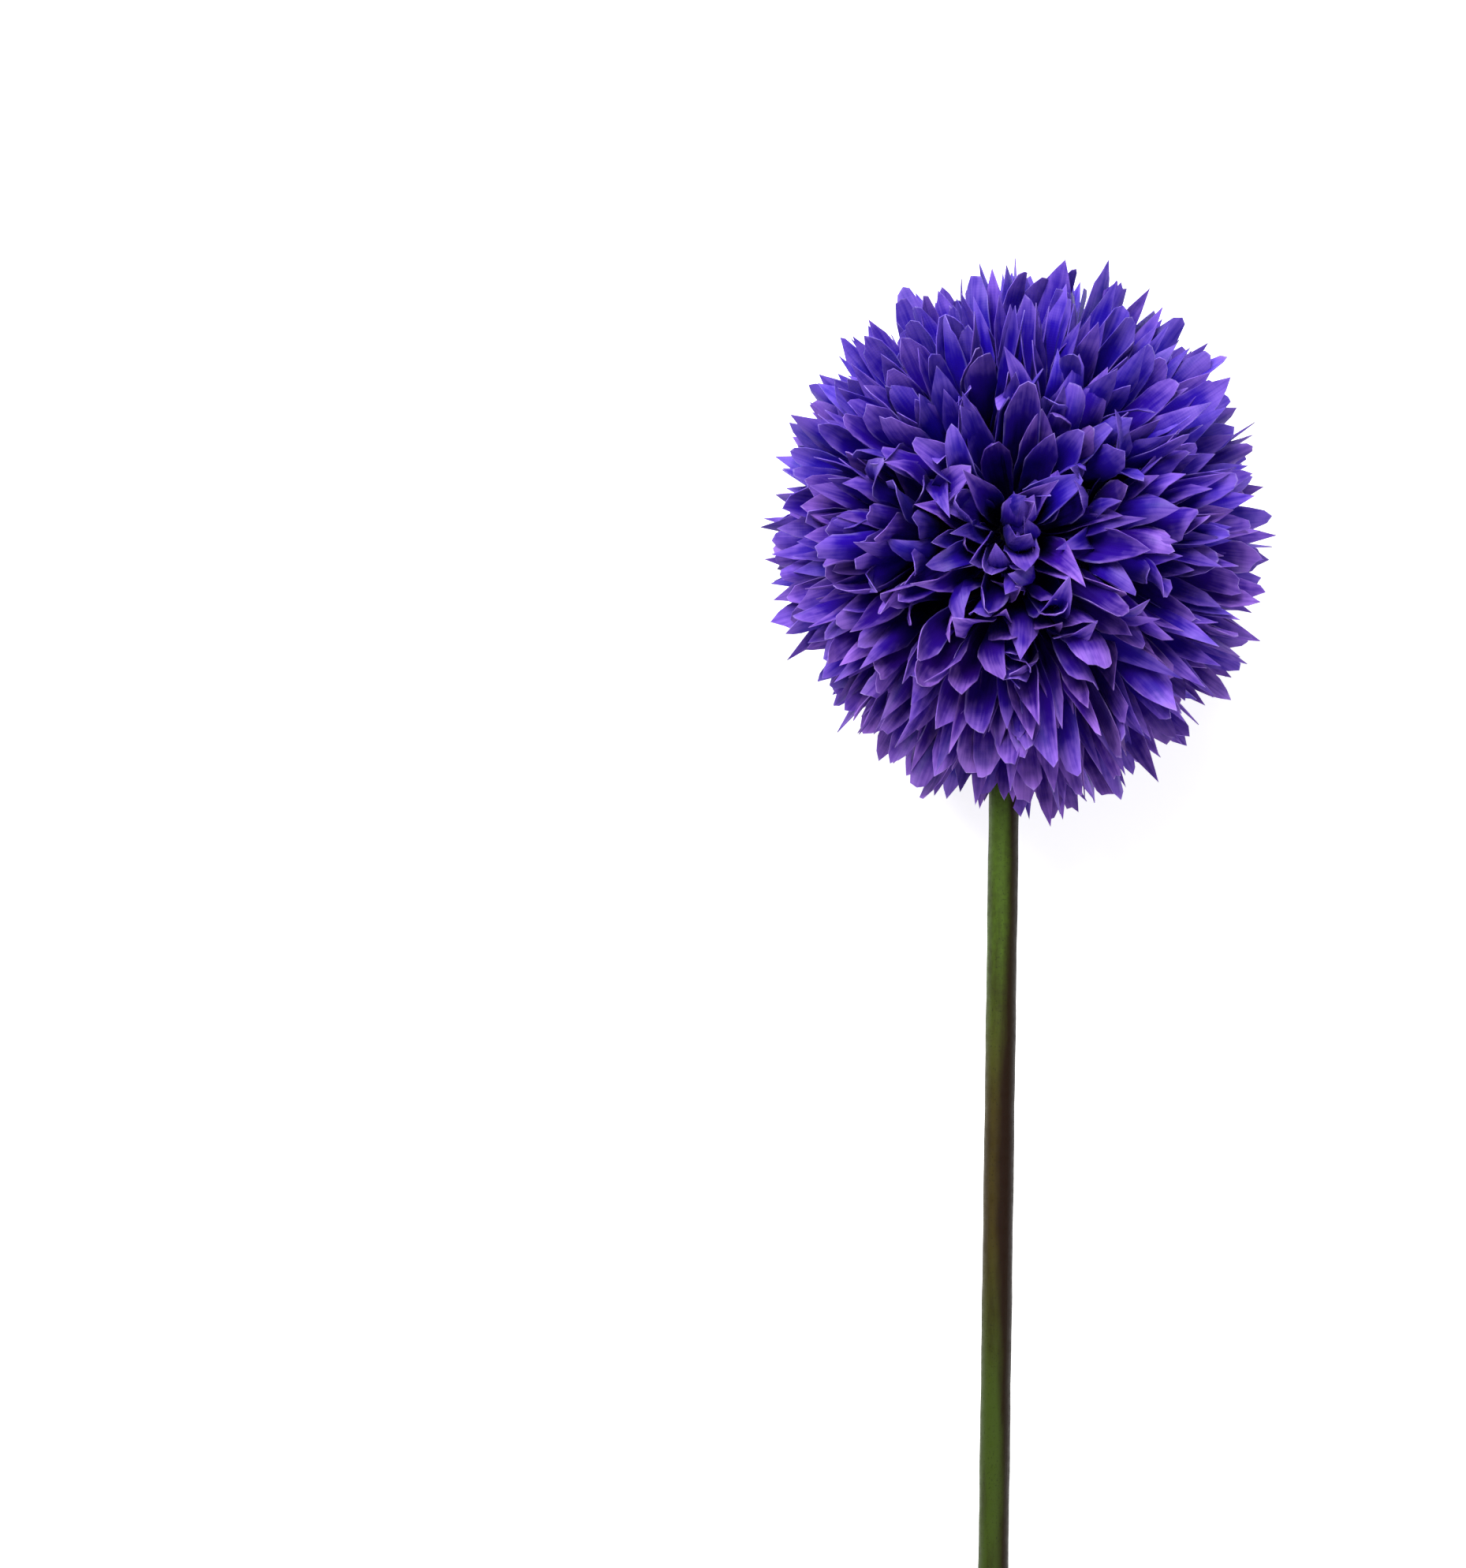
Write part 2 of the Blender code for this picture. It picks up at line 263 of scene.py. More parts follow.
def petal_cloth(look):
    """Polyester cloth: woven, dyed and stamped out hot, darkened towards the root as painted shade and
    paled towards the tip as painted highlight.

    The eye sees a satin face with a faint weave, dye that ran unevenly along the threads, and a thin
    pale line here and there along the cut edge, partly frayed thread and partly painted highlight.
    """
    material, tree = new_material("dyed woven polyester")
    along, across, tone, hue = (
        add_node(tree, "Attribute", {}, {"attribute_name": name}, "Fac")
        for name in ("along", "across", "tone", "hue")
    )
    cut = add_node(tree, "UVMap", {}, {"uv_map": "cut"})
    place = add_node(tree, "TexCoord", {}, out="Object")

    # The dye ran in streaks 0.7 mm wide and 8 mm long, and took in clouds of 5 mm. Both shift where
    # the painted shade and the painted highlight fall along the petal.
    threadwise = (per_metre(0.7), per_metre(8.0), 1.0)
    stretched = add_node(tree, "Mapping", {"Vector": cut, "Scale": threadwise})
    streaks = add_node(tree, "TexNoise", {"Vector": stretched, "Scale": 1.0, "Detail": 3.0})
    clouds = add_node(tree, "TexNoise", {"Vector": place, "Scale": per_metre(5.0), "Detail": 2.0})
    run = {"Value": streaks, **NOISE_SPAN, "To Min": -0.05, "To Max": 0.05}
    took = {"Value": clouds, **NOISE_SPAN, "To Min": -0.07, "To Max": 0.07}
    ran = add_node(tree, "MapRange", run, SMOOTH)
    taken = add_node(tree, "MapRange", took, SMOOTH)
    uneven = add_node(tree, "Math", {0: ran, 1: taken}, PLUS)
    along_streaked = add_node(tree, "Math", {0: along, 1: uneven}, PLUS)

    # Painted shade at the root, the blade's dye, and painted highlight at the tip, each between a blue
    # and a plum, and all of it darker or paler. The plum tip is paler, painted highlight towards the stem.
    blade = add_node(tree, "Mix", {0: hue, 6: look.blade_blue, 7: look.blade_plum}, COLOURS, 2)
    tip = add_node(tree, "Mix", {0: hue, 6: look.tip_blue, 7: look.tip_plum}, COLOURS, 2)
    root_shade = add_node(tree, "MapRange", {"Value": along_streaked, "From Min": 0.28, "From Max": 0.68}, SMOOTH)
    tip_highlight = add_node(tree, "MapRange", {"Value": along_streaked, "From Min": 0.72, "From Max": 1.14}, SMOOTH)
    dye = add_node(tree, "Mix", {0: root_shade, 6: look.root, 7: blade}, COLOURS, 2)
    dye = add_node(tree, "Mix", {0: tip_highlight, 6: dye, 7: tip}, COLOURS, 2)
    dye = add_node(tree, "HueSaturation", {"Color": dye, "Value": tone})

    # A pale line along the cut edge in places, partly frayed thread and partly painted highlight, about 0.3
    # mm wide at the sides and 0.4 mm at the tip.
    half = add_node(tree, "Math", {0: across}, {"operation": "ABSOLUTE"})
    sides = add_node(tree, "MapRange", {"Value": half, "From Min": 0.90, "From Max": 1.0}, SMOOTH)
    end = add_node(tree, "MapRange", {"Value": along, "From Min": 0.985, "From Max": 1.0}, SMOOTH)
    blade_only = add_node(tree, "MapRange", {"Value": along, "From Min": 0.45, "From Max": 0.75}, SMOOTH)
    patchy = {"Value": streaks, "From Min": 0.38, "From Max": 0.62, "To Min": 0.04, "To Max": 0.30}
    fray_and_highlight = add_node(tree, "Math", {0: sides, 1: end}, GREATER)
    fray_and_highlight = add_node(tree, "Math", {0: fray_and_highlight, 1: blade_only}, TIMES)
    fray_and_highlight = add_node(tree, "Math", {0: fray_and_highlight, 1: add_node(tree, "MapRange", patchy, SMOOTH)}, TIMES)
    colour = add_node(tree, "Mix", {0: fray_and_highlight, 6: dye, 7: look.edge}, COLOURS, 2)

    # Real threads are 0.15 mm apart, too fine to show, so the weave is drawn 0.5 mm apart.
    thread = {"Vector": cut, "Scale": bands_per_metre(0.5), "Distortion": 0.6, "Detail": 1.0}
    warp = add_node(tree, "TexWave", thread, {"bands_direction": "X"}, "Fac")
    weft = add_node(tree, "TexWave", thread, {"bands_direction": "Y"}, "Fac")
    weave = add_node(tree, "Math", {0: warp, 1: weft}, PLUS)
    weave = add_node(tree, "Math", {0: weave, 1: 0.25}, TIMES)
    relief = add_node(tree, "Math", {0: weave, 1: streaks}, PLUS)
    normal = add_node(tree, "Bump", {"Strength": 0.3, "Distance": 0.12 * MM, "Height": relief})
    worn = {"Value": streaks, **NOISE_SPAN, "To Min": 0.40, "To Max": 0.54}
    finish = {
        "Base Color": colour,
        "Roughness": add_node(tree, "MapRange", worn, SMOOTH),
        "Normal": normal,
        "IOR": 1.5,
        "Specular IOR Level": 0.16,
        "Sheen Weight": look.sheen,
        "Sheen Roughness": 0.45,
        "Sheen Tint": look.edge,
    }
    surface = add_node(tree, "BsdfPrincipled", finish)
    add_node(tree, "OutputMaterial", {"Surface": surface})
    return material


def stem_plastic(look):
    """Polyethylene sheath: extruded, moss green, then sprayed brown and speckled by hand.

    The eye sees fine drawn lines along it, a soft gloss, a side that is brown and darkened as painted shade,
    with a wavering border, one brown stretch right round it, and dark specks.
    """
    material, tree = new_material("extruded polyethylene")
    low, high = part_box("stem_sheath")
    width = high.x - low.x
    place = add_node(tree, "TexCoord", {}, out="Object")
    level = add_node(tree, "Mapping", {"Vector": place, "Rotation": (-SLOPE, 0.0, 0.0)})
    across = add_node(tree, "SeparateXYZ", {"Vector": place}, out="X")
    height = add_node(tree, "SeparateXYZ", {"Vector": place}, out="Y")

    # Spray fell in clouds 4.5 mm wide and 26 mm long. Mottle is 1.5 mm and specks 0.4 mm.
    drift = (per_metre(4.5), per_metre(26.0), per_metre(4.5))
    stretched = add_node(tree, "Mapping", {"Vector": level, "Scale": drift})
    clouds = add_node(tree, "TexNoise", {"Vector": stretched, "Scale": 1.0, "Detail": 5.0, "Roughness": 0.6})
    mottle = add_node(tree, "TexNoise", {"Vector": level, "Scale": per_metre(1.5), "Detail": 4.0})
    specks = add_node(tree, "TexNoise", {"Vector": level, "Scale": per_metre(0.4), "Detail": 2.0})

    # Green that deepens to moss in mottles and towards the cut end.
    mottled = {"Value": mottle, "From Min": 0.35, "From Max": 0.65, "To Max": 0.35}
    mottled = add_node(tree, "MapRange", mottled, SMOOTH)
    lower = {"Value": height, "From Min": high.y - 0.075, "From Max": high.y - 0.150, "To Max": 0.7}
    deeper = add_node(tree, "MapRange", lower, SMOOTH)
    mossy = add_node(tree, "Math", {0: mottled, 1: deeper}, GREATER)
    paint = add_node(tree, "Mix", {0: mossy, 6: look.green, 7: look.moss}, COLOURS, 2)

    # The brown stretch, halfway down: 14 mm at its brownest, and fading over 48 mm to either side.
    above = {"Value": height, "From Min": high.y - 0.180, "From Max": high.y - 0.132}
    below = {"Value": height, "From Min": high.y - 0.070, "From Max": high.y - 0.118, "To Max": 0.85}
    starting = add_node(tree, "MapRange", above, SMOOTH)
    ending = add_node(tree, "MapRange", below, SMOOTH)
    stretch = add_node(tree, "Math", {0: starting, 1: ending}, TIMES)
    paint = add_node(tree, "Mix", {0: stretch, 6: paint, 7: look.tan}, COLOURS, 2)

    # The brown side, partly sprayed brown and partly painted shade on the side away from the key light,
    # whose border wavers by a fifth of the stem's width and comes in by a quarter of it at the brown
    # stretch, and brown clouds.
    waver = {"Value": clouds, **NOISE_SPAN, "To Min": -0.1 * width, "To Max": 0.1 * width}
    wavering = add_node(tree, "Math", {0: across, 1: add_node(tree, "MapRange", waver)}, PLUS)
    come_in = add_node(tree, "Math", {0: stretch, 1: 0.25 * width}, TIMES)
    wavering = add_node(tree, "Math", {0: wavering, 1: come_in}, PLUS)
    side = {"Value": wavering, "From Min": low.x + 0.45 * width, "From Max": low.x + 0.80 * width}
    brown_and_shaded = add_node(tree, "MapRange", {**side, "To Max": 0.94}, SMOOTH)
    cloudy = {"Value": clouds, "From Min": 0.44, "From Max": 0.68, "To Max": 0.5}
    brown_and_shaded = add_node(tree, "Math", {0: brown_and_shaded, 1: add_node(tree, "MapRange", cloudy, SMOOTH)}, GREATER)
    paint = add_node(tree, "Mix", {0: brown_and_shaded, 6: paint, 7: look.brown}, COLOURS, 2)
    dotted = {"Value": specks, "From Min": 0.60, "From Max": 0.72, "To Max": 0.55}
    dotted = add_node(tree, "MapRange", dotted, SMOOTH)
    paint = add_node(tree, "Mix", {0: dotted, 6: paint, 7: look.speck}, COLOURS, 2)

    # Drawn lines 0.4 mm apart run the whole length.
    lengthwise = (per_metre(0.4), per_metre(40.0), per_metre(0.4))
    drawn = add_node(tree, "Mapping", {"Vector": level, "Scale": lengthwise})
    lines = add_node(tree, "TexNoise", {"Vector": drawn, "Scale": 1.0, "Detail": 2.0})
    relief = add_node(tree, "Math", {0: lines, 1: specks}, PLUS)
    worn = {"Value": mottle, **NOISE_SPAN, "To Min": 0.40, "To Max": 0.56}
    finish = {
        "Base Color": paint,
        "Roughness": add_node(tree, "MapRange", worn, SMOOTH),
        "Normal": add_node(tree, "Bump", {"Strength": 0.35, "Distance": 0.1 * MM, "Height": relief}),
        "IOR": 1.51,
        "Specular IOR Level": 0.12,
    }
    surface = add_node(tree, "BsdfPrincipled", finish)
    add_node(tree, "OutputMaterial", {"Surface": surface})
    return material


def wire_steel(look):
    """Steel wire: drawn, and greyed by its own oxide.

    The eye sees a dull metal end with fine marks along it and brownish stains.
    """
    material, tree = new_material("drawn steel wire")
    place = add_node(tree, "TexCoord", {}, out="Object")
    # Draw marks are 0.2 mm apart and stains are 2 mm across.
    lengthwise = (per_metre(0.2), per_metre(17.0), per_metre(0.2))
    stretched = add_node(tree, "Mapping", {"Vector": place, "Scale": lengthwise})
    marks = add_node(tree, "TexNoise", {"Vector": stretched, "Scale": 1.0, "Detail": 2.0})
    stains = add_node(tree, "TexNoise", {"Vector": place, "Scale": per_metre(2.0), "Detail": 4.0})
    stained = add_node(tree, "MapRange", {"Value": stains, "From Min": 0.4, "From Max": 0.65}, SMOOTH)
    worn = {"Value": marks, **NOISE_SPAN, "To Min": 0.28, "To Max": 0.48}
    finish = {
        "Base Color": add_node(tree, "Mix", {0: stained, 6: look.steel, 7: look.oxide}, COLOURS, 2),
        "Metallic": 1.0,
        "Roughness": add_node(tree, "MapRange", worn, SMOOTH),
        "Normal": add_node(tree, "Bump", {"Strength": 0.25, "Distance": 0.05 * MM, "Height": marks}),
    }
    surface = add_node(tree, "BsdfPrincipled", finish)
    add_node(tree, "OutputMaterial", {"Surface": surface})
    return material


def ball_plastic(look):
    """Polypropylene: injection moulded in dark violet.

    The eye sees an even matt grain from the spark-eroded mould and faint flow marks.
    """
    material, tree = new_material("moulded polypropylene")
    place = add_node(tree, "TexCoord", {}, out="Object")
    # The grain is 0.4 mm and the flow marks are 8 mm.
    grain = add_node(tree, "TexNoise", {"Vector": place, "Scale": per_metre(0.4), "Detail": 2.0})
    flow = add_node(tree, "TexNoise", {"Vector": place, "Scale": per_metre(8.0), "Distortion": 1.5})
    flowed = add_node(tree, "MapRange", {"Value": flow, **NOISE_SPAN}, SMOOTH)
    matt = {"Value": grain, **NOISE_SPAN, "To Min": 0.60, "To Max": 0.75}
    finish = {
        "Base Color": add_node(tree, "Mix", {0: flowed, 6: look.ball, 7: look.ball_flow}, COLOURS, 2),
        "Roughness": add_node(tree, "MapRange", matt, SMOOTH),
        "Normal": add_node(tree, "Bump", {"Strength": 0.3, "Distance": 0.08 * MM, "Height": grain}),
        "IOR": 1.49,
        "Specular IOR Level": 0.2,
    }
    surface = add_node(tree, "BsdfPrincipled", finish)
    add_node(tree, "OutputMaterial", {"Surface": surface})
    return material


def table_paint(settings):
    """Matt white paint, rolled on, whose top glows: painted light, with no lamp beneath it, that washes out
    the shadows on it.

    The eye sees nothing but an even white with the faintest mottle of the roller.
    """
    material, tree = new_material("matt white paint")
    place = add_node(tree, "TexCoord", {}, out="Object")
    # The roller's mottle is 17 mm.
    mottle = add_node(tree, "TexNoise", {"Vector": place, "Scale": per_metre(17.0), "Detail": 2.0})
    paint = add_node(tree, "Mix", {0: mottle, 6: settings.table, 7: settings.mottle}, COLOURS, 2)
    finish = {
        "Base Color": paint,
        "Roughness": 0.9,
        # The glow is painted light, which lightens the shadows on the table.
        "Emission Color": (1.0, 1.0, 1.0, 1.0),
        "Emission Strength": settings.glow,
    }
    surface = add_node(tree, "BsdfPrincipled", finish)
    add_node(tree, "OutputMaterial", {"Surface": surface})
    return material


# Layout of the petals, as in the solid model


def unit(vectors):
    """Vectors brought to length one, along their last axis."""
    return vectors / np.linalg.norm(vectors, axis=-1, keepdims=True)


def dots(first, second):
    """The scalar product of two arrays of vectors along their last axis, which is kept."""
    return (first * second).sum(-1, keepdims=True)


def head_middle():
    """The middle of the head, found from the upper end of the stem's sheath."""
    low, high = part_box("stem_sheath")
    overhang = STEM_RADIUS * math.sin(SLOPE)
    return np.array(
        (
            (low.x + high.x) / 2,
            high.y + STEM_INSET * math.cos(SLOPE) - overhang,
            high.z + STEM_INSET * math.sin(SLOPE) - STEM_RADIUS * math.cos(SLOPE),
        )
    )


def floret_directions():
    """Each floret's name and the way it faces, ring by ring from the crown down."""
    found = []
    for name, count, polar, first in FLORET_RINGS:
        tilt = math.radians(polar)
        for number in range(count):
            azimuth = math.radians(first + 360.0 * number / count)
            across = FACE * math.cos(azimuth) + SIDE * math.sin(azimuth)
            label = f"{name}_floret" if count == 1 else f"{name}_floret_{number + 1}"
            found.append((label, unit(AXIS * math.cos(tilt) + across * math.sin(tilt))))
    return found


def layer_basis(direction):
    """Two directions at right angles to a floret's own and to each other."""
    guide = FACE if abs(direction @ AXIS) > NEARLY_PARALLEL else AXIS
    first = unit(guide - direction * (guide @ direction))
    return first, np.cross(direction, first)


def outward_at(basis, azimuths):
    """Directions round a peg: the cosine of the azimuth along one basis vector, its sine along the other."""
    first, second = basis
    return np.cos(azimuths)[:, None] * first + np.sin(azimuths)[:, None] * second


def leant(direction, outward, lean):
    """Headings that lean outwards from a floret's own direction by an angle."""
    return direction * np.cos(lean)[:, None] + outward * np.sin(lean)[:, None]


def middle_lines(outward, height, hub_radius, heading, root_way, uneven):
    """The root, bend and tip of petals that leave the hub outwards and turn to their own headings."""
    globe = GLOBE_RADIUS + AXIAL_STRETCH * (heading @ AXIS) ** 2 + SIDE_LEAN * (heading @ SIDE)
    reach = (globe + uneven)[:, None]
    root = root_way * height + outward * hub_radius
    bend = heading * (height + BEND_SHARE * (reach - height))
    return root, bend, heading * reach


def on_curve(root, bend, tip, along):
    """Points of the quadratic curve from root to tip that is drawn towards bend."""
    return root * (1.0 - along) ** 2 + bend * 2.0 * along * (1.0 - along) + tip * along**2


def widest_leans(direction, outward, planes, layer, hub_radius, uneven):
    """How far petals may lean and stay between the planes halfway to the next florets, by halving."""
    _, count, height, _ = layer
    share = 2.0 * math.tan(math.pi / count - math.radians(AZIMUTH_SPREAD))
    across = np.cross(direction, outward)
    near = np.zeros(len(outward))
    far = np.full(len(outward), MOST_LEAN)
    for _ in range(HALVINGS):
        lean = (near + far) / 2
        heading = leant(direction, outward, lean)
        lines = middle_lines(outward, height, hub_radius, heading, direction, uneven)
        room = np.full(len(outward), np.inf)
        for along, width in ((PETAL_BELLY, PETAL_BELLY_WIDTH), (1.0, PETAL_TIP_WIDTH)):
            spot = on_curve(*lines, along)
            half = np.minimum(width, share * dots(spot, outward)) / 2
            for corner in (spot - across * half, spot + across * half):
                room = np.minimum(room, (corner @ planes.T).min(1))
        free = room > CELL_MARGIN
        near = np.where(free, lean, near)
        far = np.where(free, far, lean)
    return near


def best_turn(direction, basis, planes, layer, hub_radius):
    """The turn about its peg at which a layer's petals reach furthest into the floret's space."""
    count = layer[1]
    turns = 2.0 * math.pi * np.arange(TRIAL_TURNS) / (TRIAL_TURNS * count)
    azimuths = (turns[:, None] + 2.0 * math.pi * np.arange(count) / count).ravel()
    outward = outward_at(basis, azimuths)
    leans = widest_leans(direction, outward, planes, layer, hub_radius, np.zeros(len(outward)))
    return turns[leans.reshape(TRIAL_TURNS, count).sum(1).argmax()]


# The head's own unevenness, over the solid model's


def front_share(heading):
    """How squarely headings face out of the head's front or back, from 0 to 1."""
    return np.clip((np.abs(heading @ FACE) - FRONT_FROM) / FRONT_SPAN, 0.0, 1.0)


def fullness(heading):
    """How much further than even the petals reach round the face.

    The lobes are cosines of the turn round the face, and the press is a bell curve of it.
    """
    turn = np.arctan2(heading @ AXIS, heading @ SIDE)
    lobes = EVEN_REACH + SIDE_REACH * np.cos(turn) + LOBE_REACH * np.cos(3.0 * (turn - LOBE_TURN))
    pressed = PRESS_REACH * np.exp(-(((turn - PRESS_TURN) / PRESS_WIDTH) ** 2))
    return MM * (lobes - pressed) * (1.0 - (heading @ FACE) ** 2)


def parted(heading):
    """Headings combed apart, up and down, along each line across the face.

    The push is the hyperbolic tangent of the height above the line. It fades to the line's ends as a bell
    curve, and evenly away from the face, between cosines of 0.8 and 0.3 to it.
    """
    facing = np.clip(2.0 * np.abs(heading @ FACE) - 0.6, 0.0, 1.0)
    push = np.zeros(len(heading))
    for height, opening, softness, half_width in PARTINGS:
        near = facing * np.exp(-(((heading @ SIDE) / half_width) ** 2))
        push = push + opening * near * np.tanh((heading @ AXIS - height) / softness)
    return unit(heading + AXIS * push[:, None])


def give_way(points):
    """Shorten points' rays from the head's middle, smoothly, where they would pass through the table."""
    radius = np.linalg.norm(points, axis=-1)
    down = np.minimum(points[..., 2], -1e-9)
    meeting = radius * (HEAD_HEIGHT - CLOTH_THICKNESS) / -down
    start = meeting - PRESS_DEPTH
    over = np.maximum(radius - start, 0.0)
    kept = meeting - PRESS_DEPTH * np.exp(-over / PRESS_DEPTH)
    return points * np.where(radius > start, kept / radius, 1.0)[..., None]


# Shape of the petals


def one_each(draw, number, low, high):
    """A random number for each petal, which spreads over its rows and columns."""
    return draw.uniform(low, high, number)[:, None, None]


def column_ends(number, look, draw):
    """How far along its petal each column ends, which draws the pointed, slanting or toothed tip.

    A column ends short of the tip by a share that grows as a power of its distance from the middle.
    """
    blunt = draw.random(number)[:, None, None] < look.blunt_share
    depth, shoulder, fall = (
        np.where(blunt, one_each(draw, number, *wide), one_each(draw, number, *narrow))
        for wide, narrow in zip(BLUNT_TIP, POINTED_TIP)
    )
    ends = 1.0 - depth * (1.0 - (1.0 - np.abs(COLUMNS) ** shoulder) ** fall)
    teeth = draw.uniform(-1.0, 1.0, (number, 1, len(COLUMNS)))
    return ends + teeth * np.where(blunt, look.teeth, POINTED_TEETH * look.teeth)


def blade_turns(heading, across, look, draw):
    """How far each blade twists: partly towards lying flat round the head's face, and partly its own."""
    flat_way = unit(np.cross(heading, FACE) + 1e-6)
    rim = np.linalg.norm(np.cross(heading, FACE), axis=1)
    off = np.arctan2((np.cross(heading, across) * flat_way).sum(1), (across * flat_way).sum(1))
    off = (off + math.pi / 2) % math.pi - math.pi / 2
    turn = look.level_share * rim * off + draw.normal(0.0, look.twist, len(heading))
    return turn[:, None, None]


def petal_grids(lines, across, look, draw, width_share):
    """Petals as grids of points, with what their cloth needs to know at each point.

    Two parameters run from root to tip and from edge to edge. The middle line is a quadratic curve. The
    half width grows as a power of a sine from a claw at the root to the belly, and narrows as a square
    after it. To that are added a twist about the middle line, which is whole at three quarters of the
    way, a hollow that is the square of the distance across, a crease down the middle, a wave along the
    edges, and a roll of the tip on an arc of a circle.
    """
    root, bend, tip = (line[:, None, None] for line in lines)
    number = len(lines[0])
    heading = unit(lines[2])
    front = front_share(heading)[:, None, None]
    length = np.linalg.norm(tip - root, axis=-1)
    columns = COLUMNS + one_each(draw, number, *SKEWS) * (1.0 - COLUMNS**2)
    along = ROWS[:, None] * column_ends(number, look, draw)
    step = along[..., None]

    # Middle line, and the directions along, across and out of the blade.
    spot = on_curve(root, bend, tip, step)
    forward = unit((bend - root) * (1.0 - step) + (tip - bend) * step)
    base = across[:, None, None]
    flat = unit(base - forward * dots(base, forward))
    up = np.cross(forward, flat)
    turn = blade_turns(heading, across, look, draw) * np.clip(along * TWIST_RATE, 0.0, 1.0) ** TWIST_POWER
    side = flat * np.cos(turn)[..., None] + up * np.sin(turn)[..., None]
    up = np.cross(forward, side)

    # Half width.
    belly = look.petal_width / 2 * width_share * one_each(draw, number, *WIDTHS)
    grown = np.sin(math.pi / 2 * np.clip(along / BELLY_AT, 0.0, 1.0)) ** BELLY_POWER
    past_belly = np.clip((along - BELLY_AT) / (1.0 - BELLY_AT), 0.0, 1.0)
    narrowed = 1.0 - TIP_NARROWING * past_belly**2
    phase = one_each(draw, number, *FULL_TURN)
    ripple = 1.0 + RIPPLE_DEPTH * np.sin(phase + along * one_each(draw, number, *RIPPLES) + columns)
    half = belly * (CLAW_SHARE + (1.0 - CLAW_SHARE) * grown) * narrowed * ripple
    offset = columns * half

    # Hollow, crease and wave.
    cup = (one_each(draw, number, *HOLLOWS) + FRONT_HOLLOW * front) * look.hollow
    rise = cup * half * (columns**2 - LEVEL_AT)
    rise = rise + one_each(draw, number, *CREASES) * half * np.abs(columns)
    rise = rise + look.wave * np.sin(phase + along * one_each(draw, number, *WAVES)) * columns * along

    # Roll of the tip.
    roll = draw.normal(0.0, 1.0, number)[:, None, None] * (look.roll + look.front_roll * front)
    roll = np.where(np.abs(roll) < LEAST_ROLL, LEAST_ROLL, roll)
    begin = one_each(draw, number, *ROLL_STARTS)
    past = np.clip(along - begin, 0.0, None) * length
    curve = roll / (length * (1.0 - begin))
    rise = rise + (1.0 - np.cos(curve * past)) / curve
    ahead = np.sin(curve * past) / curve - past
    points = spot + side * offset[..., None] + up * rise[..., None] + forward * ahead[..., None]

    # What the colour needs: darker and paler petals, how far along each point lies for the painted shade
    # and highlight, and plum rather than blue towards the stem, whose paler tips are painted highlight.
    tone = np.clip(draw.normal(1.0, look.tone_spread, number), *TONES)
    plum = PLUM - CROWN_PLUM_LOSS * (heading @ AXIS) + draw.normal(0.0, PLUM_SPREAD, number)
    hue = np.clip(plum, 0.0, 1.0)
    bolt = one_each(draw, number, *BOLT_SHIFTS)
    values = {
        "along": ROWS[:, None] * (1.0 - CUT_SHADE_AND_HIGHLIGHT + CUT_SHADE_AND_HIGHLIGHT * along),
        "across": COLUMNS,
        "tone": tone[:, None, None],
        "hue": hue[:, None, None],
    }
    values = {name: np.broadcast_to(value, along.shape) for name, value in values.items()}
    return give_way(points), np.stack((offset + bolt, along * length), axis=-1), values


def collar_grid(direction, basis, height, hole_radius, hub_radius, count):
    """The flat collar that joins a layer's petals: one parameter runs round it, the other outwards."""
    outward = outward_at(basis, math.pi * np.arange(2 * count) / count)
    radii = np.array((hole_radius, (hole_radius + hub_radius) / 2, hub_radius + 2 * CLOTH_THICKNESS))
    return direction * height + radii[None, :, None] * outward[:, None, :]


# Meshes


def grid_faces(number, rows, columns, start=0, round_rows=False, round_columns=False):
    """Quads of a number of grids of points. Rows or columns that go round are joined to the first."""
    down = np.arange(rows if round_rows else rows - 1)[:, None]
    right = np.arange(columns if round_columns else columns - 1)[None, :]
    here = down * columns
    below = (down + 1) % rows * columns
    beside = (right + 1) % columns
    quads = np.stack((here + right, here + beside, below + beside, below + right), axis=-1).reshape(-1, 4)
    return (start + np.arange(number)[:, None, None] * rows * columns + quads).reshape(-1, 4)


def build_mesh(name, points, faces, values=None, cut=None):
    """A smooth mesh from points and quads, with one value a point for each attribute and a cut pattern."""
    mesh = bpy.data.meshes.new(name)
    mesh.vertices.add(len(points))
    mesh.vertices.foreach_set("co", np.ascontiguousarray(points, np.float32).ravel())
    mesh.loops.add(faces.size)
    mesh.loops.foreach_set("vertex_index", faces.ravel().astype(np.int32))
    mesh.polygons.add(len(faces))
    mesh.polygons.foreach_set("loop_start", np.arange(0, faces.size, 4, dtype=np.int32))
    mesh.polygons.foreach_set("use_smooth", np.ones(len(faces), bool))
    mesh.update(calc_edges=True)
    for key, value in (values or {}).items():
        attribute = mesh.attributes.new(key, "FLOAT", "POINT")
        attribute.data.foreach_set("value", value.astype(np.float32).ravel())
    if cut is not None:
        pattern = mesh.uv_layers.new(name="cut")
        pattern.data.foreach_set("uv", cut[faces.ravel()].astype(np.float32).ravel())
    mesh.validate()
    return mesh


def mark_open_edges_sharp(mesh):
    """Mark edges with one face only as sharp, so that a thin wall's rim doesn't round its faces."""
    edge_of_loop = np.zeros(len(mesh.loops), np.int32)
    mesh.loops.foreach_get("edge_index", edge_of_loop)
    used = np.bincount(edge_of_loop, minlength=len(mesh.edges))
    sharp = mesh.attributes.new("sharp_edge", "BOOLEAN", "EDGE")
    sharp.data.foreach_set("value", used == 1)


def add_piece(name, mesh, material, node):
    """A piece of the object: it rides on its body, stands for its solid and takes its slot's finish."""
    mesh.materials.append(material)
    piece = bpy.data.objects.new(name, mesh)
    bpy.context.scene.collection.objects.link(piece)
    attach(piece, BODY)
    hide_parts(node)
    return piece


# Petal layers


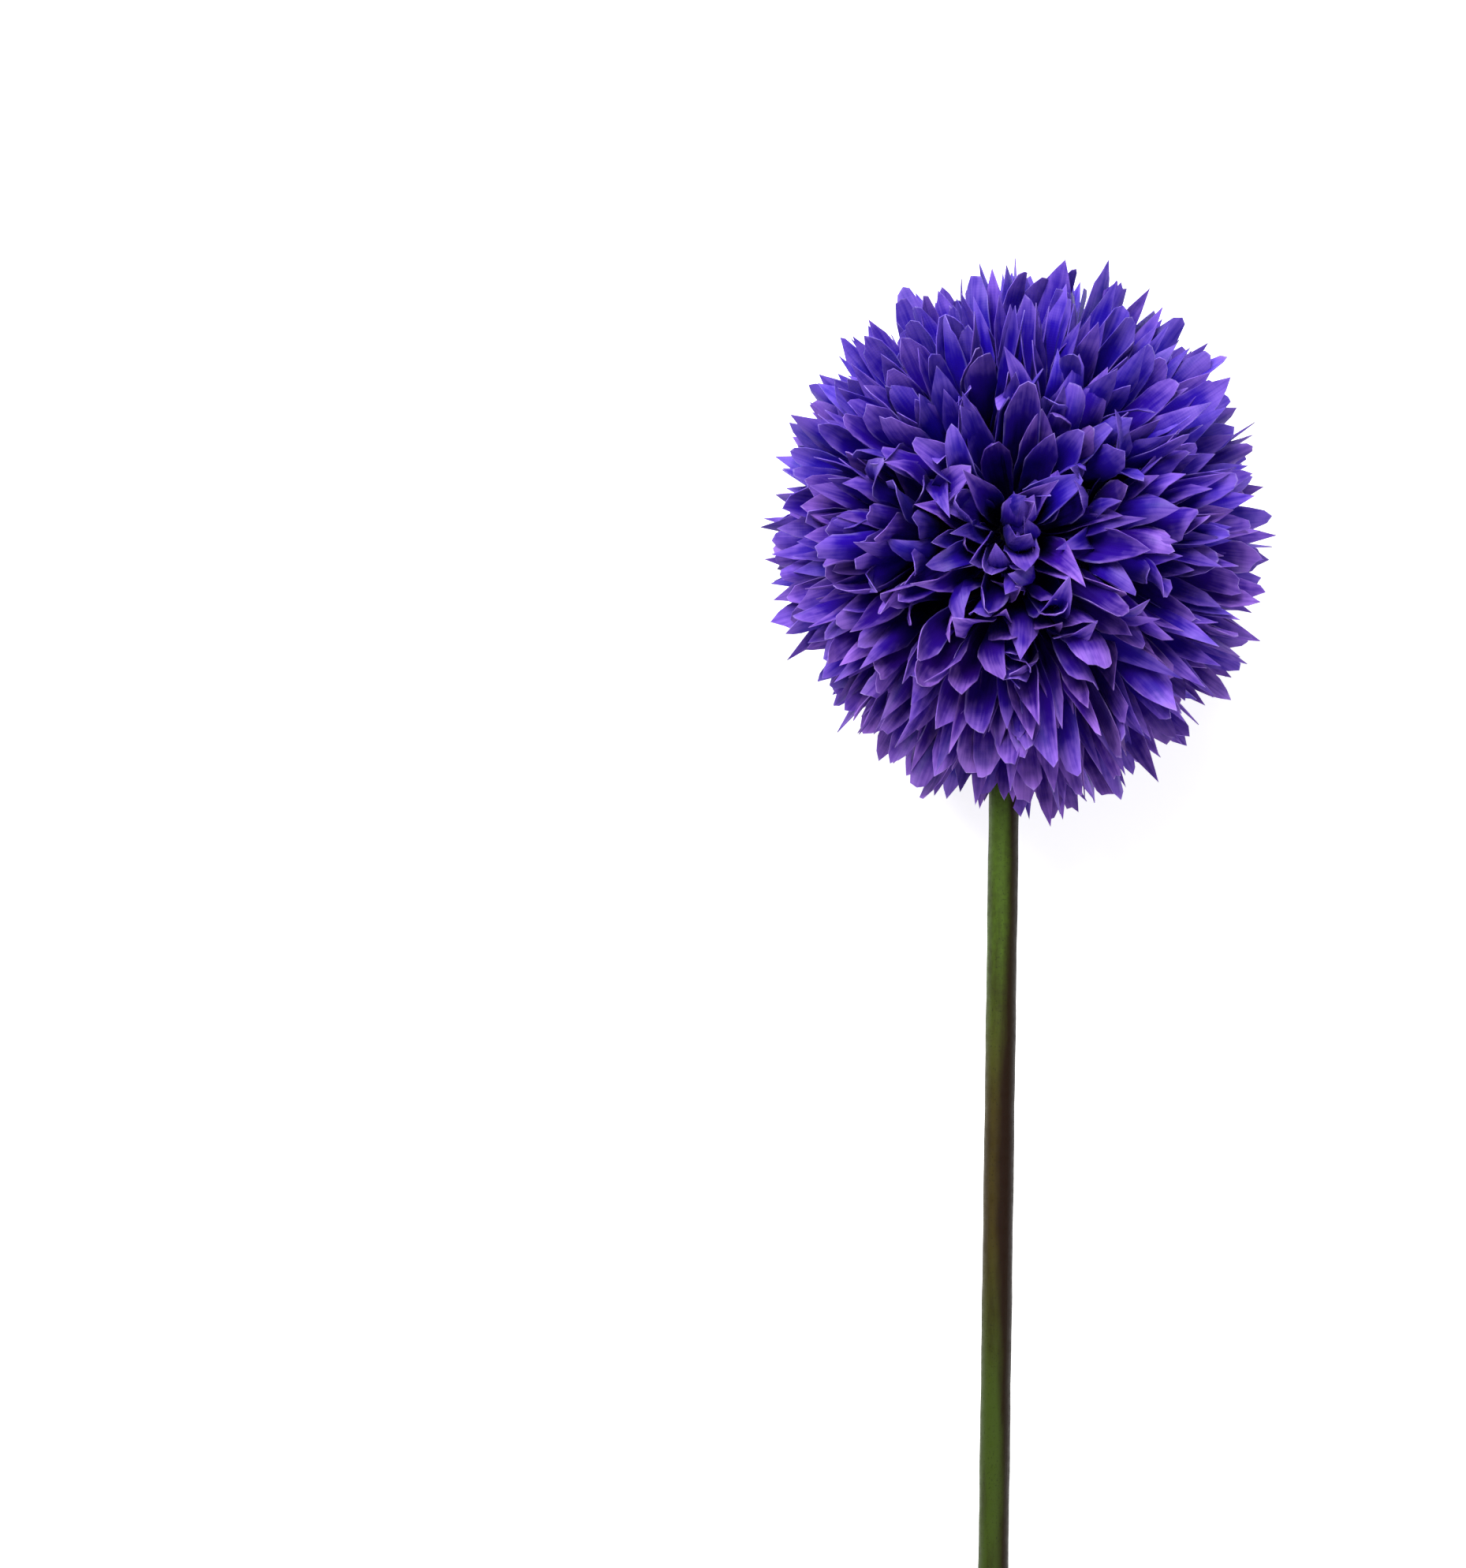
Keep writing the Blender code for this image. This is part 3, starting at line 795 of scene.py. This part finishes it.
def ply_settings(direction, basis, planes, layer, hub_radius, extra, draws, look):
    """Azimuths, extra lengths, share of the widest lean and height of a layer's two plies.

    The first ply is the solid's own, with the same random draws. The second is half a pitch round.
    """
    _, count, height, opening = layer
    solid_draw, own_draw = draws
    turn = best_turn(direction, basis, planes, layer, hub_radius)
    spreads = (AZIMUTH_SPREAD, LENGTH_SPREAD)
    drawn = [[solid_draw.uniform(-spread, spread) for spread in spreads] for _ in range(count)]
    astray, longer = np.array(drawn).T
    half_pitch = math.pi / count
    even = turn + 2.0 * half_pitch * np.arange(count)
    between = even + half_pitch + own_draw.normal(0.0, PITCH_SPREAD * half_pitch, count)
    shorter = extra + own_draw.uniform(SECOND_PLY_SHORTEST, SECOND_PLY_LONGEST, count)
    return (
        (even + np.radians(astray), extra + longer, opening, height),
        (between, shorter, opening * look.second_ply_opening, height - PLY_STEP),
    )


def petal_layer(label, direction, others, layer, hole_radius, extra, draws, look, material):
    """One stamped layer of petals in two plies, as one piece of cloth on its collars."""
    name, count, _, _ = layer
    own_draw = draws[1]
    basis = layer_basis(direction)
    planes = unit(direction - others)
    hub_radius = hole_radius + HUB_RIM
    inner = name == "inner"
    front = front_share(direction[None, :])[0]
    loose = look.lean_spread * (INNER_LOOSENESS if inner else 1.0) * (1.0 + look.front_mess * front)
    astray = look.front_mess * front * ASTRAY_SHARE * math.pi / count
    width_share = INNER_WIDTH if inner else 1.0
    grids = []
    collars = []
    plies = ply_settings(direction, basis, planes, layer, hub_radius, extra, draws, look)
    for azimuths, uneven, opening, height in plies:
        outward = outward_at(basis, azimuths + own_draw.normal(0.0, 1.0, count) * astray)
        leans = opening * widest_leans(direction, outward, planes, layer, hub_radius, uneven)
        leans = np.abs(leans + own_draw.normal(0.0, loose, count))
        if label.startswith("lower"):
            leans = leans * (1.0 - SKIRT_GAP * front * np.clip(-(outward @ AXIS), 0.0, 1.0))
        heading = parted(leant(direction, outward, leans))
        reach = uneven + fullness(heading) + own_draw.normal(0.0, look.length_spread, count)
        lines = middle_lines(outward, height, hub_radius, heading, direction, reach)
        across = np.cross(direction, outward)
        grids.append(petal_grids(lines, across, look, own_draw, width_share))
        collars.append(collar_grid(direction, basis, height, hole_radius, hub_radius, count))

    collar = collars[0].shape[0] * collars[0].shape[1]
    petals = 2 * count * len(ROWS) * len(COLUMNS)
    faces = [grid_faces(2 * count, len(ROWS), len(COLUMNS))]
    faces.append(grid_faces(2, *collars[0].shape[:2], start=petals, round_rows=True))
    points = [grid[0].reshape(-1, 3) for grid in grids] + [grid.reshape(-1, 3) for grid in collars]
    cut = [grid[1].reshape(-1, 2) for grid in grids] + [np.zeros((2 * collar, 2))]
    values = {
        key: np.concatenate([grid[2][key].ravel() for grid in grids] + [np.zeros(2 * collar)])
        for key in grids[0][2]
    }
    points = np.concatenate(points) + head_middle()
    piece_name = f"{label}_{name}_cloth"
    mesh = build_mesh(piece_name, points, np.concatenate(faces), values, np.concatenate(cut))
    mark_open_edges_sharp(mesh)
    piece = add_piece(piece_name, mesh, material, f"{label}_{name}_petals")
    cloth = piece.modifiers.new("cloth", "SOLIDIFY")
    cloth.thickness = CLOTH_THICKNESS
    cloth.offset = 0.0


# Stem


def turned_piece(name, profile, sides, material, node):
    """A closed profile of (distance down the stem, radius) pairs, turned about the stem's middle line.

    A point is the middle line's point plus the radius times the cosine of the turn to the side and its
    sine to the face. The turn runs backwards, so that the faces point out of the profile.
    """
    angles = -2.0 * math.pi * np.arange(sides) / sides
    outward = outward_at((SIDE, FACE), angles)
    down, radius = np.array(profile).T
    start = head_middle() - AXIS * STEM_INSET
    grid = start - down[None, :, None] * AXIS + radius[None, :, None] * outward[:, None, :]
    faces = grid_faces(1, *grid.shape[:2], round_rows=True, round_columns=True)
    mesh = build_mesh(name, grid.reshape(-1, 3), faces)
    mesh.set_sharp_from_angle(angle=SHARP_FROM)
    add_piece(name, mesh, material, node)


def sheath_profile(bore):
    """From the inset end to the cut end outside, over a softened cut edge and back up the bore.

    The outside wavers by two sines of the distance along it, 30 mm and 12 mm long, as an extruded tube
    does.
    """
    length = STEM_LENGTH - STEM_INSET
    down = np.linspace(0.0, length - 0.4 * MM, SHEATH_RINGS)
    waver = 0.04 * MM * np.sin(210.0 * down) + 0.03 * MM * np.sin(530.0 * down + 1.0)
    outside = list(zip(down, STEM_RADIUS - 0.04 * MM + waver))
    edge = [(length - 0.1 * MM, STEM_RADIUS - 0.15 * MM), (length, STEM_RADIUS - 0.5 * MM)]
    return outside + edge + [(length, bore + 0.3 * MM), (length - 0.2 * MM, bore), (0.0, bore)]


def wire_profile():
    """From its closed inner end down to a sheared end with a slight burr."""
    length = STEM_LENGTH - STEM_INSET
    middle = 0.01 * MM
    top = [(0.0, middle), (0.0, WIRE_RADIUS - 0.2 * MM)]
    rings = np.linspace(0.2 * MM, length - 0.4 * MM, WIRE_RINGS)
    body = [(down, WIRE_RADIUS - 0.02 * MM) for down in rings]
    burr = [(length - 0.1 * MM, WIRE_RADIUS), (length, WIRE_RADIUS - 0.15 * MM), (length, middle)]
    return top + body + burr


# What a user may change


def colour(name, description, default):
    """A colour that a user may change, given as sRGB hex."""
    return FloatVectorProperty(
        name=name,
        description=description,
        default=linear(default),
        subtype="COLOR",
        size=4,
        min=0.0,
        max=1.0,
    )


def metres(name, description, default):
    """A length that a user may change, in metres."""
    return FloatProperty(name=name, description=description, default=default, unit="LENGTH")


def radians(name, description, default):
    """An angle that a user may change, in radians."""
    return FloatProperty(name=name, description=description, default=default, subtype="ANGLE")


def watts(name, description, default):
    """A power that a user may change, in watts."""
    return FloatProperty(name=name, description=description, default=default, unit="POWER")


def factor(name, description, default):
    """A share, or a number of times, that a user may change."""
    return FloatProperty(name=name, description=description, default=default, subtype="FACTOR")


class PetalSettings(bpy.types.PropertyGroup):
    """Sizes and colours of the petals."""

    petal_width: metres("Petal width", "Width of a petal's belly", 0.0069)
    twist: radians("Twist", "Spread of the petals' own turns", 0.48)
    level_share: factor("Levelling", "How far the blades turn flat round the head's face", 0.60)
    lean_spread: radians("Lean spread", "Spread of the petals' leans", 0.045)
    front_mess: factor("Front mess", "How much more the petals that face squarely out are tousled", 1.6)
    length_spread: metres("Length spread", "Spread of the petals' lengths", 0.0012)
    second_ply_opening: factor("Second ply", "How far the second ply opens", 0.92)
    hollow: factor("Hollow", "How deep the blades are", 1.0)
    wave: metres("Wave", "Height of the waves along the edges", 0.0006)
    roll: radians("Tip roll", "Spread of the tips' roll", 0.28)
    front_roll: radians("Front tip roll", "What the tips that face squarely out roll further", 1.0)
    blunt_share: factor("Blunt tips", "Share of toothed and blunt tips", 0.48)
    teeth: factor("Teeth", "Depth of a blunt tip's teeth", 0.03)
    tone_spread: factor("Tone spread", "How unevenly the petals took the dye", 0.13)
    sheen: factor("Sheen", "Sheen of the cloth", 0.03)
    # The root colour is painted shade, where shade falls deep between the petals.
    root: colour("Root", "Dye at the roots", "#03002A")
    blade_blue: colour("Blue blade", "Dye of the bluest blades", "#1E0796")
    blade_plum: colour("Plum blade", "Dye of the reddest blades", "#2E0878")
    # The tip colours are the blade's hue paled as painted highlight, the plum tip most, towards the stem.
    tip_blue: colour("Blue tip", "Dye of the bluest tips", "#6A50BE")
    tip_plum: colour("Plum tip", "Dye of the reddest tips", "#9467CA")
    # The cut edge's colour is partly frayed thread and partly painted highlight; it also tints the sheen.
    edge: colour("Cut edge", "Frayed thread at the cut edges", "#AC9ADA")


class StemSettings(bpy.types.PropertyGroup):
    """Sizes and colours of the stem and the ball."""

    bore: metres("Bore", "Radius of the sheath's bore", 0.0015)
    green: colour("Green", "Sheath below the head", "#42581A")
    moss: colour("Moss", "Mottles and the cut end", "#2C370E")
    tan: colour("Tan", "The brown stretch", "#382810")
    brown: colour("Brown", "The sprayed side", "#1A0803")
    # Brown is partly the sprayed colour and partly painted shade on the stem's right side.
    speck: colour("Specks", "Dark specks", "#12130A")
    steel: colour("Steel", "Wire", "#B4B2AE")
    oxide: colour("Oxide", "Stains on the wire", "#6E665E")
    ball: colour("Ball", "Moulded ball", "#100823")
    ball_flow: colour("Ball flow", "Flow marks on the ball", "#0B0519")


class StageSettings(bpy.types.PropertyGroup):
    """Camera, light and table."""

    view_height: metres("View height", "Height of the view at the head", 0.338)
    lens: FloatProperty(name="Lens", description="Focal length in millimetres", default=135.0)
    roll: radians("Roll", "Turn of the camera about its own line", 0.01396)
    right: metres("Right", "Head right of the view's middle", 0.0592)
    above: metres("Above", "Head above the view's middle", 0.0534)
    key: watts("Key light", "Power of the key light", 29.0)
    fill: watts("Fill light", "Power of the fill", 6.0)
    light_size: metres("Light size", "Width of either light", 0.9)
    ambient: factor("Ambient", "Brightness of the room", 0.30)
    # The glow is painted light from the table top itself, with no lamp beneath it.
    glow: factor("Glow", "Light through the table's white top", 0.6)
    table_edge: metres("Table edge", "The table's edge from its middle", 4.0)
    table: colour("Table", "Paint of the table", "#F7F7F5")
    mottle: colour("Mottle", "Roller marks in the paint", "#FAFAF9")


# Stage


def add_table(settings):
    """A plain pale table top, one quad."""
    edge = settings.table_edge
    corners = edge * np.array([(-1, -1, 0), (1, -1, 0), (1, 1, 0), (-1, 1, 0)])
    mesh = build_mesh("table", corners, np.array([[0, 1, 2, 3]]))
    mesh.materials.append(table_paint(settings))
    table = bpy.data.objects.new("table", mesh)
    bpy.context.scene.collection.objects.link(table)


def add_area(name, power, size, place, target):
    """A square soft light that faces a target."""
    light = bpy.data.lights.new(name, "AREA")
    light.energy = power
    light.size = size
    lamp = bpy.data.objects.new(name, light)
    lamp.location = place
    lamp.rotation_euler = (target - place).to_track_quat("-Z", "Y").to_euler()
    bpy.context.scene.collection.objects.link(lamp)


def add_lights(settings):
    """A broad key light over the crown and towards the viewer, a low fill and an even white room.

    The room lights the object less than it shows beyond the table's edge, so that its white runs on.
    """
    middle = Vector(head_middle())
    for name, power, (out, up, right) in (
        ("key", settings.key, KEY_PLACE),
        ("fill", settings.fill, FILL_PLACE),
    ):
        place = middle + Vector(FACE) * out + Vector(AXIS) * up + Vector(SIDE) * right
        add_area(name, power, settings.light_size, place, middle)
    room = bpy.data.worlds.new("room")
    room.use_nodes = True
    tree = room.node_tree
    tree.nodes.clear()
    seen = add_node(tree, "LightPath", {}, out="Is Camera Ray")
    strength = add_node(tree, "MapRange", {"Value": seen, "To Min": settings.ambient, "To Max": 1.0})
    wall = add_node(tree, "Background", {"Color": (1.0, 1.0, 1.0, 1.0), "Strength": strength})
    add_node(tree, "OutputWorld", {"Surface": wall})
    bpy.context.scene.world = room


def add_camera(settings):
    """A long lens square to the stem, rolled a little, with the head right of and above its middle."""
    face = Vector(FACE)
    axis = Vector(AXIS)
    side = Vector(SIDE)
    right = side * math.cos(settings.roll) + axis * math.sin(settings.roll)
    up = axis * math.cos(settings.roll) - side * math.sin(settings.roll)
    lens = bpy.data.cameras.new("camera")
    lens.lens = settings.lens
    distance = settings.view_height * settings.lens / lens.sensor_width
    aim = Vector(head_middle()) - right * settings.right - up * settings.above
    camera = bpy.data.objects.new("camera", lens)
    turn = Matrix((right, up, face)).transposed().to_4x4()
    camera.matrix_world = Matrix.Translation(aim + face * distance) @ turn
    bpy.context.scene.collection.objects.link(camera)
    bpy.context.scene.camera = camera


# Operators and panel


class ALLIUM_OT_petals(bpy.types.Operator):
    """Make every petal layer of the eighteen florets and of the skirt"""

    bl_idname = "allium.petals"
    bl_label = "Petal layers"

    def execute(self, context):
        look = context.scene.allium_petals
        cloth = petal_cloth(look)
        draws = random.Random(SOLID_SEED), np.random.default_rng(LOOKS_SEED)
        florets = floret_directions()
        ways = np.array([way for _, way in florets] + [-AXIS])
        for index, (label, way) in enumerate(florets):
            others = np.delete(ways, index, axis=0)
            for layer in LAYERS:
                petal_layer(label, way, others, layer, PEG_RADIUS + FIT, 0.0, draws, look, cloth)
        hole = STEM_RADIUS + FIT
        for layer in SKIRT_LAYERS:
            petal_layer("skirt", -AXIS, ways[:-1], layer, hole, SKIRT_EXTRA_LENGTH, draws, look, cloth)
        return {"FINISHED"}


class ALLIUM_OT_stem(bpy.types.Operator):
    """Make the stem's plastic sheath and the wire in its bore"""

    bl_idname = "allium.stem"
    bl_label = "Stem"

    def execute(self, context):
        look = context.scene.allium_stem
        sheath = sheath_profile(look.bore)
        plastic = stem_plastic(look)
        steel = wire_steel(look)
        turned_piece("stem_sheath_tube", sheath, SHEATH_SIDES, plastic, "stem_sheath")
        turned_piece("stem_wire_rod", wire_profile(), WIRE_SIDES, steel, "stem_wire")
        return {"FINISHED"}


class ALLIUM_OT_ball(bpy.types.Operator):
    """Give the moulded ball its finish"""

    bl_idname = "allium.ball"
    bl_label = "Core ball"

    def execute(self, context):
        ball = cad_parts["core_ball"]
        ball.data.materials.clear()
        ball.data.materials.append(ball_plastic(context.scene.allium_stem))
        return {"FINISHED"}


class ALLIUM_OT_stage(bpy.types.Operator):
    """Make the table, the lights and the camera, and show colours as they are"""

    bl_idname = "allium.stage"
    bl_label = "Stage"

    def execute(self, context):
        settings = context.scene.allium_stage
        add_table(settings)
        add_lights(settings)
        add_camera(settings)
        context.scene.view_settings.view_transform = "Standard"
        return {"FINISHED"}


OPERATORS = (ALLIUM_OT_petals, ALLIUM_OT_stem, ALLIUM_OT_ball, ALLIUM_OT_stage)
SETTINGS = {
    "allium_petals": PetalSettings,
    "allium_stem": StemSettings,
    "allium_stage": StageSettings,
}


class ALLIUM_PT_panel(bpy.types.Panel):
    """Lists what the flower head is made of"""

    bl_label = "Allium flower head"
    bl_idname = "ALLIUM_PT_panel"
    bl_space_type = "VIEW_3D"
    bl_region_type = "UI"
    bl_category = "Allium"

    def draw(self, context):
        for operator in OPERATORS:
            self.layout.operator(operator.bl_idname)


def register():
    for kind in (*SETTINGS.values(), *OPERATORS, ALLIUM_PT_panel):
        bpy.utils.register_class(kind)
    for name, kind in SETTINGS.items():
        setattr(bpy.types.Scene, name, PointerProperty(type=kind))


def unregister():
    for name in SETTINGS:
        delattr(bpy.types.Scene, name)
    for kind in (ALLIUM_PT_panel, *reversed(OPERATORS), *SETTINGS.values()):
        bpy.utils.unregister_class(kind)


def main():
    """Register the classes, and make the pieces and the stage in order."""
    register()
    bpy.ops.allium.petals()
    bpy.ops.allium.stem()
    bpy.ops.allium.ball()
    bpy.ops.allium.stage()


if __name__ == "__main__":
    main()
